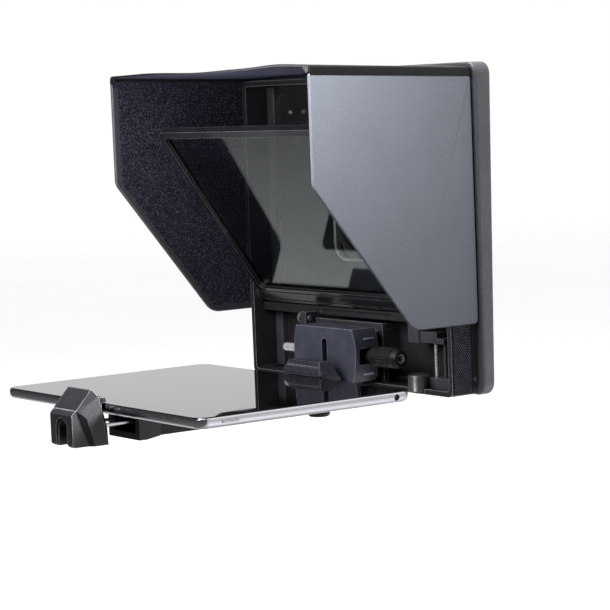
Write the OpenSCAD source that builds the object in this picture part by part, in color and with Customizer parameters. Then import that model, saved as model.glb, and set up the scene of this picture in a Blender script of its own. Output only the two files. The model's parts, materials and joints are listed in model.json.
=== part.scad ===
// Folding teleprompter: a hooded beam-splitter box that hangs from a camera lens,
// with a tablet held flat in front of it.
// Frame: origin at the centre of the lens ring's rear face, +Y towards the camera, +Z up.

/* [Housing] */
// Width of the rear frame
body_w = 205; // [203:1:215]
// Height of the rear frame
body_h = 184; // [180:1:190]
// Height of the lens axis above the bottom of the rear frame
axis_h = 104; // [98:1:108]
// Depth of the rear frame at its top
frame_top_depth = 11; // [10:0.5:12]
// Depth of the rear frame at its bottom
frame_bottom_depth = 7; // [6.5:0.5:8]
// How far the open box stands in front of the rear frame
box_depth = 18; // [17:0.5:19]
// Thickness of the box walls
wall = 3; // [2.5:0.5:3]

/* [Lens mount] */
// Diameter of the thread that screws into the lens
lens_thread_d = 67; // [62:1:70]
// Distance from the rear frame's front face to the lens ring's rear face
ring_stack = 18; // [17:0.5:20]

/* [Glass] */
// Lean of the glass from upright
glass_lean = 35; // [30:1:45]
// Length of the glass frame from its hinge to its top edge
glass_reach = 125; // [115:1:125]
// Width of the glass frame
glass_w = 178; // [170:1:178]
// Thickness of the beam-splitter glass
glass_t = 2; // [1.5:0.5:2]

/* [Hood] */
// How far the hood reaches in front of the rear frame
hood_reach = 110; // [105:1:115]
// Outside width of the hood
hood_w = 199.2; // [199.2:0.2:200]
// Thickness of the hood's side boards
hood_t = 2.6; // [2:0.2:2.6]
// Rise of the hood's roof towards its front, in degrees
hood_rise = 1.85; // [0:0.05:2]

/* [Tablet] */
// Width of the tablet
tablet_w = 203.2; // [195:0.1:205]
// Depth of the tablet
tablet_d = 138; // [134:0.1:138]
// Thickness of the tablet
tablet_t = 6.1; // [6.1:0.1:6.3]

/* [Hidden] */
$fn = 48;

// Datums. front is the rear frame's front face, low its bottom and high its top.
front = -ring_stack;
low = -axis_h;
high = body_h - axis_h;
nip = 0.01;         // lets a cut run past a face
gap = 0.3;          // clearance between bodies that move past each other
rim = 6;            // width of the rear frame's own material
frame_r = 7;        // its outer corner radius

// The open box
box_w = body_w - 13;
box_low = low + 0.2;
box_high = high - 5;
box_h = box_high - box_low;
box_mid = (box_high + box_low) / 2;
box_front = front - box_depth;

// Window and lens ring
window_w = 57;
window_h = 62;
window_r = 9;
plate_t = 3;
cover_t = 3.4;
socket_r = 46;
socket_bore_r = 39.6;
cover_bore_r = 36;   // smaller than the adapter ring's flange, which it stops
socket_back = -3;
ring_bore_r = lens_thread_d / 2 - 2;

// Hood
board_x = hood_w / 2 - hood_t;
tape_t = 0.9;
hood_top_t = 1.4;
fold_r = 2.2;
fold_x = hood_w / 2 - 2.4;
fold_z = box_high + 0.2;                    // height of the folds' rear end
board_back = front - 0.6;
board_gap = (fold_r + 0.4) / cos(hood_rise); // from a fold's axis down to the board's top edge
function fold_height(y) = fold_z + (board_back - y) * tan(hood_rise);
board_nose_z = low + 121;
board_foot_z = low + 40;
board_foot_y = front - 46;

// Glass hinge
hinge_y = front - 12;
hinge_z = low + 50;
pin_r = 2;
running = 0.05;     // radial clearance of a running fit
glass_border = 3.6;

// Tablet holder
shaft_y = front - 22;
shaft_z = low + 19.5;
shaft_r = 2.5;
ear_x = 24;
ear_t = 6.5;
ear_r = 3.8;
block_front = front - 34;
block_back = front - 17.5;
block_top = low + 35.3;
block_low = low - 9.2;
inner_rail_t = 2.4;
release_y = front - 17.5;
release_z = low + 37.2;
release_stem_r = 1.4;
lug_x = -40.7;      // outer face of the lug that the release knob turns in
foot_x = 64.5;
foot_y = front - 16.3;
foot_r = 6.2;
foot_stem_r = 2.4;
foot_seat = 0.6;    // thickness of the floor left under the foot knob
arm_w = 28;
arm_top = low + 2.3;
arm_low = low - 11.6;
arm_nose = front - 170;
arm_wall = 2.2;
arm_knob_y = front - 39.6;
rod_x = 8.5;
rod_z = low - 3;
rod_r = 1;
tablet_front = front - 188.4;
tablet_back = tablet_front + tablet_d;
tablet_low = low + 2.7;
tablet_high = tablet_low + tablet_t;
tablet_corner = 7;
rear_bite = 0.8;    // how far each jaw reaches over the tablet
front_bite = 3.4;

// A rectangle with round corners, centred
module round_rect(w, h, r) {
    square([w - 2 * r, h], center = true);
    square([w, h - 2 * r], center = true);
    for (x = [-1, 1], y = [-1, 1]) translate([x * (w / 2 - r), y * (h / 2 - r)]) circle(r);
}

// An outline in X and Z, given depth along Y from y0
module along_y(y0, depth) {
    translate([0, y0 + depth, 0]) rotate([90, 0, 0]) linear_extrude(depth) children();
}

// An outline in Y and Z, given width along X from x0
module along_x(x0, width) {
    translate([x0, 0, 0]) rotate([90, 0, 90]) linear_extrude(width) children();
}

// A cylinder along X, and one along Y, each from its low end
module rod_along_x(x0, length, r) {
    translate([x0, 0, 0]) rotate([0, 90, 0]) cylinder(h = length, r = r);
}

module rod_along_y(y0, length, r) {
    translate([0, y0, 0]) rotate([-90, 0, 0]) cylinder(h = length, r = r);
}

// The same on both sides of the centre plane
module both_sides() {
    children();
    mirror([1, 0, 0]) children();
}

// Points of an arc that rounds the corner b between a and c
function unit(v) = v / norm(v);
function rounded(a, b, c, r, steps = 8) =
    let (u = unit(a - b), v = unit(c - b), half = acos(u * v) / 2,
         centre = b + unit(u + v) * r / sin(half),
         p = b + u * r / tan(half) - centre, q = b + v * r / tan(half) - centre,
         turn = 180 - 2 * half, side = sign(p[0] * q[1] - p[1] * q[0]))
    [for (i = [0 : steps]) let (t = side * turn * i / steps)
        centre + [p[0] * cos(t) - p[1] * sin(t), p[0] * sin(t) + p[1] * cos(t)]];

// A screw head with a hexagon socket, along -Y, its under-face at y = 0
module screw_head(r, h, shank = 0) {
    difference() {
        union() {
            rotate([90, 0, 0]) cylinder(h = h, r = r);
            if (shank > 0) rod_along_y(0, shank, r * 0.5);
        }
        translate([0, -h - nip, 0]) rotate([-90, 0, 0]) cylinder(h = h * 0.6, r = r * 0.5, $fn = 6);
    }
}

// A grooved thumb knob along +Z, standing on z = 0
module knob(r, h, grooves = 16) {
    difference() {
        union() {
            cylinder(h = h - 1, r = r);
            translate([0, 0, h - 1]) cylinder(h = 1, r1 = r, r2 = r - 1);
        }
        for (i = [0 : grooves - 1]) rotate(i * 360 / grooves) translate([r + 0.35, 0, 1.2])
            cylinder(h = h - 3, r = 0.75, $fn = 16);
    }
}

module frame_blank() {
    intersection() {
        along_x(-body_w / 2, body_w) polygon([[front, low], [front, high],
            [front + frame_top_depth, high], [front + frame_bottom_depth, low]]);
        along_y(front, frame_top_depth) translate([0, (high + low) / 2])
            round_rect(body_w, body_h, frame_r);
    }
}

// Rear frame: the slab-edged rim, thicker at its top
module rear_frame() {
    color([0.20, 0.21, 0.23]) difference() {
        frame_blank();
        along_y(front - nip, frame_top_depth + 1) translate([0, (high + low) / 2])
            round_rect(body_w - 2 * rim, body_h - 2 * rim, 3);
    }
}

// Back plate: the wall behind the glass, with the lens window
module back_plate() {
    color([0.12, 0.12, 0.13]) difference() {
        along_y(front, plate_t) difference() {
            translate([0, (high + low) / 2]) round_rect(body_w - 2 * rim, body_h - 2 * rim, 3);
            round_rect(window_w, window_h, window_r);
        }
        both_sides() translate([78, front - nip, low + 12]) cube([7, 1.4, body_h - 26]);
    }
}

// Trim around the lens window
module window_trim() {
    color([0.62, 0.63, 0.65]) along_y(front - 0.8, 0.8) difference() {
        round_rect(window_w + 3, window_h + 3, window_r + 1.5);
        round_rect(window_w, window_h, window_r);
    }
}

// Rear cover: closes the frame behind, with a seat for the lens socket
module rear_cover() {
    color([0.15, 0.15, 0.16]) difference() {
        union() {
            along_y(front + plate_t, cover_t) translate([0, (high + low) / 2])
                round_rect(body_w - 2 * rim, body_h - 2 * rim, 3);
            rod_along_y(front + plate_t, socket_back - 4 - front - plate_t, socket_r);
        }
        rod_along_y(front, ring_stack, cover_bore_r);
        for (x = [-86, 86], z = [low + 14, high - 14])
            translate([x, 0, z]) rod_along_y(front + plate_t + cover_t - 1.2, 3, 3.2);
    }
}

module cover_screws() {
    color([0.45, 0.46, 0.48]) for (x = [-86, 86], z = [low + 14, high - 14])
        translate([x, front + plate_t + cover_t - 1.2, z]) rotate([0, 0, 180]) screw_head(2.8, 1.6);
}

// Lens socket: the flanged ring that the adapter ring drops into
module lens_socket() {
    color([0.28, 0.28, 0.30]) difference() {
        rod_along_y(socket_back - 4, 4, socket_r);
        rod_along_y(socket_back - 5, 6, socket_bore_r);
        translate([0, socket_back - 2, 0]) rotate([0, 45, 0]) cylinder(h = socket_r + 1, r = 1.5);
    }
}

// Adapter ring: its rear thread screws into the lens
module lens_adapter_ring() {
    color([0.10, 0.10, 0.11]) difference() {
        union() {
            rod_along_y(socket_back - 4, 4, socket_bore_r);
            rod_along_y(socket_back, -socket_back, lens_thread_d / 2);
        }
        rod_along_y(socket_back - 5, ring_stack, ring_bore_r);
    }
}

// Thumb screw that holds the adapter ring in its socket
module ring_lock_screw() {
    color([0.62, 0.63, 0.66]) translate([0, socket_back - 2, 0]) rotate([0, 45, 0]) {
        translate([0, 0, socket_r + gap]) knob(4.5, 8, 12);
        translate([0, 0, socket_bore_r + gap]) cylinder(h = 8, r = 1.5 - running);
    }
}

// Open box in front of the rear frame
module housing_box() {
    color([0.15, 0.15, 0.17]) difference() {
        along_y(box_front, box_depth) translate([0, box_mid]) difference() {
            round_rect(box_w, box_h, 4);
            round_rect(box_w - 2 * wall, box_h - 2 * wall, 2);
        }
        both_sides() for (z = [low + 9, high - 14])
            translate([box_w / 2 - 1.2, front - 1.6, z]) rotate([0, 90, 0]) cylinder(h = 2, r = 1.1);
        translate([0, front - 4.6, box_low - 1]) cylinder(h = wall + 2, r = 4.2);
        translate([foot_x, foot_y, box_low - 1]) cylinder(h = wall + 2, r = foot_stem_r + running);
        translate([foot_x, foot_y, box_low + foot_seat]) cylinder(h = wall, r = foot_r + 0.5);
    }
}

module box_screws() {
    color([0.72, 0.73, 0.75]) {
        both_sides() for (z = [low + 9, high - 14])
            translate([box_w / 2 - 1.2, front - 1.6, z]) rotate([0, 90, 0]) cylinder(h = 1, r = 1.1);
        both_sides() for (x = [57.5, 71]) translate([x, front, low + 159.5]) screw_head(1.7, 0.9);
    }
}

// Raised rails down both sides of the box's back
module inner_rail() {
    color([0.30, 0.30, 0.32]) translate([-box_w / 2 + wall, front - inner_rail_t, low + 4])
        cube([7.5, inner_rail_t, box_h - 8]);
}

// Bar across the box below the glass hinge
module cross_bar() {
    color([0.24, 0.24, 0.26]) difference() {
        union() {
            translate([-box_w / 2 + wall, front - 11, low + 38.8]) cube([box_w - 2 * wall, 8, 5.2]);
            both_sides() translate([40, front - 3, low + 38.8]) cube([30, 3, 5.2]);
        }
        translate([-34, front - 11.6, low + 40.6]) cube([68, 1.4, 1.6]);
    }
}

// Base block and threaded insert for a tripod screw
module base_block() {
    color([0.15, 0.15, 0.16]) difference() {
        translate([-14, front - 8.9, box_low + wall]) cube([28, 8.7, 7]);
        translate([0, front - 4.6, box_low]) cylinder(h = 12, r = 4);
    }
}

module tripod_insert() {
    color([0.78, 0.66, 0.38]) translate([0, front - 4.6, box_low]) difference() {
        cylinder(h = wall + 7, r = 4);
        translate([0, 0, -1]) cylinder(h = wall + 9, r = 3.175);
    }
}

// Hook tape on the outside of the box
module hook_tape_side() {
    color([0.33, 0.35, 0.40])
        translate([box_w / 2, box_front + 0.6, box_low + 1.5]) cube([tape_t, box_depth - 3.6, box_h - 8]);
}

module hook_tape_top() {
    color([0.33, 0.35, 0.40])
        translate([-box_w / 2 + 8, box_front + 0.6, box_high]) cube([box_w - 16, box_depth - 3.6, tape_t]);
}

// The folds' own axes: Y along them, at their rear end
module on_fold() {
    translate([0, board_back, fold_z]) rotate([-hood_rise, 0, 0]) children();
}

// Hood: a top board, two side boards and the folds that join them
module hood_top() {
    half = fold_x - fold_r - 0.05;
    color([0.22, 0.22, 0.24]) on_fold() translate([-half, 0.6 - hood_reach, fold_r - hood_top_t])
        cube([2 * half, hood_reach - 0.6, hood_top_t]);
}

module hood_fold() {
    color([0.16, 0.16, 0.18]) on_fold() translate([fold_x, 0, 0])
        rod_along_y(0.6 - hood_reach, hood_reach - 0.6, fold_r);
}

module hood_board() {
    brow = [front - hood_reach, fold_height(front - hood_reach) - board_gap];
    nose = [front - hood_reach, board_nose_z];
    foot = [board_foot_y, board_foot_z];
    color([0.46, 0.47, 0.50]) along_x(board_x, hood_t) polygon(concat(
        [[board_back, fold_z - board_gap], brow],
        rounded(brow, nose, foot, 8),
        rounded(nose, foot, [board_back, board_foot_z], 12),
        [[board_back, board_foot_z]]));
}

// The glass frame's own axes: Z up its slope, Y through it, at the hinge
module in_glass() {
    translate([0, hinge_y, hinge_z]) rotate([glass_lean, 0, 0]) children();
}

module glass_ring(w, low_edge, high_edge, r) {
    translate([0, (high_edge + low_edge) / 2]) round_rect(w, high_edge - low_edge, r);
}

// Frame around the glass, with the rebate that the glass sits in
module glass_frame() {
    open_w = glass_w - 2 * glass_border;
    color([0.07, 0.07, 0.08]) in_glass() difference() {
        along_y(-3.2, 4.8) glass_ring(glass_w, -4, glass_reach, 7);
        along_y(-4, 6) glass_ring(open_w, 6, glass_reach - 4.5, 4);
        along_y(-1, 3) glass_ring(open_w + 4, 4, glass_reach - 2.5, 4);
        both_sides() rod_along_x(glass_w / 2 - 9, 10, pin_r + running);
        for (z = [-2.6, 3.2]) translate([-open_w / 2, -3.8, z]) cube([open_w, 1.2, 0.9]);
    }
}

module glass_gasket() {
    open_w = glass_w - 2 * glass_border;
    color([0.05, 0.05, 0.05]) in_glass() along_y(-1, 0.6) difference() {
        glass_ring(open_w + 4, 4, glass_reach - 2.5, 4);
        glass_ring(open_w + 0.6, 5.7, glass_reach - 4.2, 4);
    }
}

// The half-mirrored glass
module beam_splitter_glass() {
    open_w = glass_w - 2 * glass_border;
    color([0.55, 0.60, 0.60, 0.5]) in_glass() along_y(-0.4, glass_t)
        glass_ring(open_w + 4, 4, glass_reach - 2.5, 4);
}

module glass_retainer() {
    open_w = glass_w - 2 * glass_border;
    color([0.07, 0.07, 0.08]) in_glass() difference() {
        along_y(glass_t - 0.4, 1.4) difference() {
            glass_ring(glass_w - 1, 2.6, glass_reach - 0.5, 7);
            glass_ring(open_w, 6, glass_reach - 4.5, 4);
        }
    }
}

module retainer_screws() {
    color([0.55, 0.56, 0.58]) in_glass() for (x = [-1, 1], z = [14, glass_reach - 14])
        translate([x * (glass_w / 2 - 1.9), glass_t + 1, z]) rotate([0, 0, 180]) screw_head(1.1, 0.7);
}

// Brackets that carry the glass hinge pins
module hinge_bracket() {
    x0 = glass_w / 2 + gap + 0.2;
    t = box_w / 2 - wall - x0;
    color([0.20, 0.20, 0.22]) difference() {
        union() {
            translate([x0, hinge_y, hinge_z - 5]) cube([t, front - 2.4 - hinge_y, 10]);
            translate([0, hinge_y, hinge_z]) rod_along_x(x0, t, 5);
        }
        translate([0, hinge_y, hinge_z]) rod_along_x(x0 - 1, t + 2, pin_r);
    }
}

module glass_hinge_pins() {
    x1 = box_w / 2 - wall;
    color([0.75, 0.76, 0.78]) both_sides() translate([0, hinge_y, hinge_z])
        rod_along_x(glass_w / 2 - 8, x1 - glass_w / 2 + 8, pin_r);
}

module hinge_screws() {
    x0 = glass_w / 2 + gap + 0.2;
    color([0.80, 0.81, 0.83]) both_sides() for (d = [[4.2, 1.5], [1.0, 3.6]])
        translate([0, hinge_y + d[0], hinge_z + d[1]]) rod_along_x(x0 - 0.2, 0.2, 0.8);
}

// Plate on the box's back that carries the holder, with two ears for the tilt shaft
module mount_plate() {
    color([0.13, 0.13, 0.14]) difference() {
        union() {
            translate([-31, front - 12.5, box_low + wall + 0.1]) cube([59, 3.5, 33.7]);
            translate([-44, front - 12.5, low + 32]) cube([14, 3.5, 5]);
            for (x = [-28, 16]) translate([x, front - 9, low + 14]) cube([12, 9, 20]);
            translate([lug_x, release_y - 3, low + 33.4]) cube([4.6, front - 11.2 - release_y + 3, 7.6]);
            both_sides() {
                translate([ear_x, shaft_y, shaft_z - ear_r]) cube([ear_t, front - 12.5 - shaft_y, 2 * ear_r]);
                translate([0, shaft_y, shaft_z]) rod_along_x(ear_x, ear_t, ear_r);
            }
        }
        translate([0, shaft_y, shaft_z]) both_sides() rod_along_x(ear_x - 1, ear_t + 2, shaft_r);
        translate([0, release_y, release_z]) rod_along_x(lug_x - 1, 7, release_stem_r + running);
    }
}

module plate_screws() {
    color([0.70, 0.71, 0.73]) both_sides() for (z = [low + 8, low + 31.5])
        translate([21, front - 12.5, z]) screw_head(2, 1.2);
}

// End blocks and rods of the rail beside the mount plate
module rail_blocks() {
    color([0.30, 0.31, 0.33]) {
        translate([52, front - 13, low + 28]) cube([9.6, 13, 10.6]);
        translate([61.6, front - 12, low + 28.4]) cube([14.6, 12, 6.2]);
        translate([76.2, front - 12, low + 28.4]) cube([6, 12, 3]);
        translate([70.5, front - 13, box_low + wall]) cube([20.5, 13 - inner_rail_t, 6]);
    }
}

module rail_rod(x) {
    color([0.62, 0.63, 0.65]) translate([x, front - 8, box_low + wall + 6])
        cylinder(h = low + 28.4 - box_low - wall - 6, r = 1);
}

module rail_rods() {
    rail_rod(70.6);
    rail_rod(78.6);
}

// Thin round knob beside the top of the mount plate
module release_knob() {
    disc_x = lug_x - 3.8;
    color([0.30, 0.31, 0.33]) translate([0, release_y, release_z]) {
        rod_along_x(disc_x + 0.4, 1.8, 3.5);
        translate([disc_x, 0, 0]) rotate([0, 90, 0]) cylinder(h = 0.4, r1 = 3.1, r2 = 3.5);
        translate([disc_x + 2.2, 0, 0]) rotate([0, 90, 0]) cylinder(h = 0.4, r1 = 3.5, r2 = 3.1);
        rod_along_x(disc_x + 1, 8, release_stem_r);
    }
}

// Smooth knob of the foot screw, seated in the box floor
module foot_knob() {
    color([0.34, 0.35, 0.37]) translate([foot_x, foot_y, box_low + foot_seat + gap]) {
        cylinder(h = 0.6, r1 = foot_r - 0.6, r2 = foot_r);
        translate([0, 0, 0.6]) cylinder(h = 8.6, r = foot_r);
        translate([0, 0, 9.2]) cylinder(h = 0.8, r1 = foot_r, r2 = foot_r - 0.8);
        translate([0, 0, -foot_seat - gap]) cylinder(h = foot_seat + gap + 0.6, r = foot_stem_r);
    }
}

// Shaft that the tilt block turns on, with a bright tip
module tilt_shaft() {
    color([0.78, 0.79, 0.81]) translate([0, shaft_y, shaft_z]) {
        rod_along_x(-54, 54 + ear_x + ear_t + knob_bore, shaft_r);
        translate([-54, 0, 0]) sphere(shaft_r);
    }
}

// Thumb knob that locks the tilt, with a groove for its ring
knob_x = ear_x + ear_t + gap;
knob_r = 5.8;
knob_cup_r = 2.6;   // recess in the knob's end, lined with a bright ring
knob_cup_at = 22.2;
knob_bore = 21;

module tilt_knob() {
    color([0.14, 0.13, 0.13]) translate([knob_x, shaft_y, shaft_z]) rotate([0, 90, 0]) difference() {
        union() {
            cylinder(h = 3, r = 4.8);
            translate([0, 0, 3]) cylinder(h = 19.4, r = knob_r);
            translate([0, 0, 22.4]) cylinder(h = 3.2, r1 = knob_r - 0.2, r2 = knob_r - 1.2);
        }
        translate([0, 0, -1]) cylinder(h = knob_bore + 1, r = shaft_r + running);
        translate([0, 0, knob_cup_at]) cylinder(h = 5, r = knob_cup_r);
        for (i = [0 : 17]) rotate(i * 20) translate([knob_r + 0.4, 0, 9])
            cylinder(h = 9.5, r = 0.75, $fn = 16);
    }
}

// Bright ring in the recess of the tilt knob's end
module tilt_knob_ring() {
    color([0.82, 0.82, 0.84]) translate([knob_x + knob_cup_at, shaft_y, shaft_z]) rotate([0, 90, 0])
    difference() {
        cylinder(h = 3, r = knob_cup_r);
        translate([0, 0, -1]) cylinder(h = 5, r = knob_cup_r - 0.4);
    }
}

// Outline of the tilt block: its sides bulge
function block_half(z) = 30 - 3 * pow((z - 21) / 14, 2);
block_steps = [for (i = [0 : 12]) 5 + i * (block_top - low - 5) / 12];

// Slotted block that carries the arm and the rear jaw
module tilt_block() {
    color([0.30, 0.31, 0.35]) difference() {
        union() {
            along_y(block_front, block_back - block_front) polygon(concat(
                [for (z = block_steps) [block_half(z), low + z]],
                [for (i = [12 : -1 : 0]) [-block_half(block_steps[i]), low + block_steps[i]]]));
            translate([-22, block_front, block_low]) cube([44, 10, low + 5 - block_low]);
        }
        translate([0, block_front - nip, 0]) {
            translate([-2.5, 0, low + 4]) cube([5, 7, 22.5]);
            translate([0, 0, low + 26.5]) rod_along_y(0, 7, 2.5);
        }
        both_sides() translate([ear_x - 0.5, block_front + 2.6, shaft_z - ear_r - 1])
            cube([12, block_back - block_front, 2 * ear_r + 2]);
        both_sides() block_clip_pair(0.1);
        translate([0, shaft_y, shaft_z]) rod_along_x(-40, 80, shaft_r + running);
    }
}

// Flat steel clips let into the block's sides
module block_clip_pair(slack) {
    for (z = [low + 8.6, low + 29]) translate([ear_x - slack, block_front + 7 - slack, z - slack])
        cube([block_half(z - low) - ear_x + 0.3 + slack, 7 + 2 * slack, 0.9 + 2 * slack]);
}

module block_clips() {
    color([0.75, 0.76, 0.78]) both_sides() block_clip_pair(0);
}

// Arm: an open-ended channel under the tablet
module arm_channel() {
    color([0.20, 0.20, 0.22]) difference() {
        translate([-arm_w / 2, arm_nose, arm_low]) cube([arm_w, block_front - arm_nose, arm_top - arm_low]);
        translate([-arm_w / 2 + arm_wall, arm_nose - 1, arm_low + arm_wall])
            cube([arm_w - 2 * arm_wall, block_front - arm_nose - 3, arm_top - arm_low - 2 * arm_wall]);
        translate([0, arm_knob_y, arm_low - 1]) cylinder(h = arm_wall + 2, r = 1.6);
    }
}

// Chamfered collar around the arm's open end
module arm_collar() {
    color([0.26, 0.26, 0.29]) difference() {
        hull() {
            translate([-arm_w / 2 - 2, arm_nose - 1.5, arm_low - 1.2])
                cube([arm_w + 4, 5, arm_top - arm_low + 0.8]);
            translate([-arm_w / 2 - 0.4, arm_nose + 12, arm_low - 0.2])
                cube([arm_w + 0.8, 1, arm_top - arm_low - 4]);
        }
        translate([-arm_w / 2, arm_nose, arm_low]) cube([arm_w, 40, arm_top - arm_low + 1]);
        translate([-arm_w / 2 + arm_wall, arm_nose - 5, arm_low + arm_wall])
            cube([arm_w - 2 * arm_wall, 20, arm_top - arm_low - 2 * arm_wall]);
    }
}

// Knob under the arm that clamps the sliding jaw
module arm_lock_knob() {
    color([0.22, 0.22, 0.24]) translate([0, arm_knob_y, arm_low - gap]) {
        rotate([180, 0, 0]) knob(6.4, 4, 16);
        translate([0, 0, -1]) cylinder(h = 3.4, r = 1.6 - running);
    }
}

// Rear jaw: a faceted bar behind the tablet's rear edge, on a stem in the block's slot
module rear_jaw() {
    lip = tablet_back - rear_bite;
    base = tablet_high + gap;
    heel = tablet_back + 1.3;
    rear = block_front - 1.2;
    color([0.33, 0.33, 0.38]) difference() {
        union() {
            hull() {
                along_x(-16.5, 33) polygon([[lip, base], [lip, base + 1], [heel, base + 1], [heel, base]]);
                along_x(-17.5, 35) polygon([[lip + 0.6, base + 3.4], [heel, base + 3.4], [heel, base + 2]]);
                along_x(-14.5, 29)
                    polygon([[lip + 2.6, base + 8.2], [rear - 6, base + 8.2], [rear - 6, base + 6]]);
            }
            hull() {
                along_x(-14.5, 29)
                    polygon([[heel + 1, base + 8.2], [rear - 6, base + 8.2], [rear - 6, base + 6]]);
                along_x(-17.5, 35)
                    polygon([[heel, tablet_low + 1], [heel, base + 3.4], [heel + 1, base + 3.4]]);
                along_x(-23, 46)
                    polygon([[rear - 5, tablet_low + 1], [rear - 5, base - 1], [rear - 4, tablet_low + 1]]);
                along_x(-9, 18) polygon([[rear - 1, base - 1], [rear, base], [rear, base + 4]]);
            }
            translate([-2.3, rear - 1, base]) cube([4.6, block_front + 7 - rear, 6]);
        }
        along_x(-15, 30) polygon([[lip - 1, base + 4.8], [lip - 1, base + 5.4],
            [lip + 1.9, base + 5.4], [lip + 1.5, base + 4.8]]);
    }
}

// Rubber pad between the rear jaw and the tablet's edge
module rear_jaw_pad() {
    color([0.05, 0.05, 0.05]) translate([-9, tablet_back + gap, tablet_low + 1.2]) cube([18, 1, 4.8]);
}

// Nut that holds the rear jaw's stem in the slot
module jaw_guide_nut() {
    color([0.55, 0.56, 0.58]) translate([-2.3, block_front + 6, tablet_high + gap + 0.2])
        cube([4.6, 0.7, 5.6]);
}

// Front jaw: a sloping body hooked over the tablet's front edge, with an arched groove in its boss
jaw_nose = tablet_front - 22;
jaw_foot = low - 12.8;

module front_jaw() {
    heel = tablet_front - 1.2;
    base = tablet_high + gap;
    color([0.32, 0.33, 0.35]) difference() {
        union() {
            along_x(-11.6, 23.2) polygon([[jaw_nose, low - 11.6], [jaw_nose, low + 4.4],
                [jaw_nose + 0.9, low + 5.6], [jaw_nose + 9, low + 12], [jaw_nose + 11, jaw_foot],
                [jaw_nose + 1.2, jaw_foot]]);
            hull() {
                along_x(-11.8, 23.6) polygon([[jaw_nose + 12, low + 17.2], [jaw_nose + 13.4, low + 17.4],
                    [jaw_nose + 13, low + 15]]);
                along_x(-14.6, 29.2) polygon([[jaw_nose + 7.4, low + 2.8], [jaw_nose + 15.6, low + 12.6],
                    [jaw_nose + 20.2, jaw_foot], [jaw_nose + 12.2, jaw_foot]]);
                along_x(-12, 24) polygon([[jaw_nose + 2.6, low + 7], [jaw_nose + 21.2, low - 3],
                    [jaw_nose + 21.2, jaw_foot + 0.6], [jaw_nose + 9.4, jaw_foot]]);
            }
            hull() {
                along_x(-13.8, 27.6) polygon([[jaw_nose + 14, low + 15.4], [jaw_nose + 17, low + 13.2],
                    [jaw_nose + 16, base]]);
                along_x(-9.4, 18.8) polygon([[tablet_front - 1.6, low + 12.2], [tablet_front - 1.6, base],
                    [tablet_front - 3, base]]);
                along_x(-5, 10) polygon([[tablet_front + front_bite, low + 10.8],
                    [tablet_front + front_bite, base], [tablet_front, base]]);
            }
            translate([-8, heel - 6, low - 2]) cube([16, 6, 12]);
        }
        translate([0, jaw_nose - 1, 0]) {
            translate([-5.8, 0, jaw_foot - 1]) cube([11.6, 2.2, low - 3.2 - jaw_foot + 1]);
            translate([0, 0, low - 3.2]) rod_along_y(0, 2.2, 5.8);
            translate([-4.8, 0, jaw_foot - 1]) cube([9.6, 10, low - 3.8 - jaw_foot + 1]);
            translate([0, 0, low - 3.8]) rod_along_y(0, 10, 4.8);
        }
        for (x = [-rod_x, rod_x]) translate([x, 0, rod_z]) rod_along_y(heel - 9, 14, rod_r);
    }
}

module front_jaw_pad() {
    color([0.05, 0.05, 0.05]) translate([-8, tablet_front - 1.2, tablet_low + 0.6]) cube([16, 0.8, 5]);
}

// Two rods that carry the front jaw, and the slider on their inner ends
module jaw_rods() {
    color([0.80, 0.80, 0.82]) for (x = [-rod_x, rod_x])
        translate([x, 0, rod_z]) rod_along_y(tablet_front - 10.2, 96, rod_r);
}

module jaw_slider() {
    low_face = arm_low + arm_wall + gap;
    color([0.12, 0.12, 0.13]) difference() {
        union() {
            translate([-arm_w / 2 + arm_wall + gap, tablet_front + 66, low_face])
                cube([arm_w - 2 * arm_wall - 2 * gap, 22, arm_top - arm_low - 2 * arm_wall - 2 * gap]);
            translate([-6, tablet_front + 87, low_face]) cube([12, 60, 2]);
        }
        for (x = [-rod_x, rod_x]) translate([x, 0, rod_z]) rod_along_y(tablet_front + 60, 40, rod_r);
    }
}

// Screw at the back of the front jaw's groove
module jaw_screws() {
    color([0.75, 0.76, 0.78]) translate([0, jaw_nose + 9, low - 5]) screw_head(1.6, 0.8);
}

// Tablet: case, screen and side buttons
module tablet_case() {
    jack_r = 1.75;
    color([0.72, 0.73, 0.75]) difference() {
        translate([0, (tablet_front + tablet_back) / 2, 0]) union() {
            translate([0, 0, tablet_low + 1.6]) linear_extrude(tablet_t - 2.3)
                round_rect(tablet_w, tablet_d, tablet_corner);
            translate([0, 0, tablet_low]) linear_extrude(1.6)
                round_rect(tablet_w - 3, tablet_d - 3, tablet_corner - 1);
        }
        translate([0, tablet_back - 11, tablet_low + 3]) rod_along_x(tablet_w / 2 - 13, 14, jack_r);
        for (x = [tablet_w / 2 - 46, tablet_w / 2 - 32]) translate([x, tablet_front - 1, tablet_low + 2.3])
            cube([10.4, 1.9, 1.6]);
        translate([tablet_w / 2 - 1, tablet_front + 14, tablet_low + 2.3]) cube([2, 10.4, 1.6]);
    }
}

module tablet_screen() {
    color([0.60, 0.60, 0.64]) translate([0, (tablet_front + tablet_back) / 2, tablet_high - 0.7])
        linear_extrude(0.7) round_rect(tablet_w - 1, tablet_d - 1, tablet_corner - 0.5);
}

// Side buttons
module volume_button(x) {
    color([0.80, 0.80, 0.82]) translate([x + 0.1, tablet_front - 0.4, tablet_low + 2.4])
        cube([10.2, 0.9, 1.4]);
}

module power_button() {
    color([0.80, 0.80, 0.82]) translate([tablet_w / 2 - 0.5, tablet_front + 14.1, tablet_low + 2.4])
        cube([0.9, 10.2, 1.4]);
}

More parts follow.
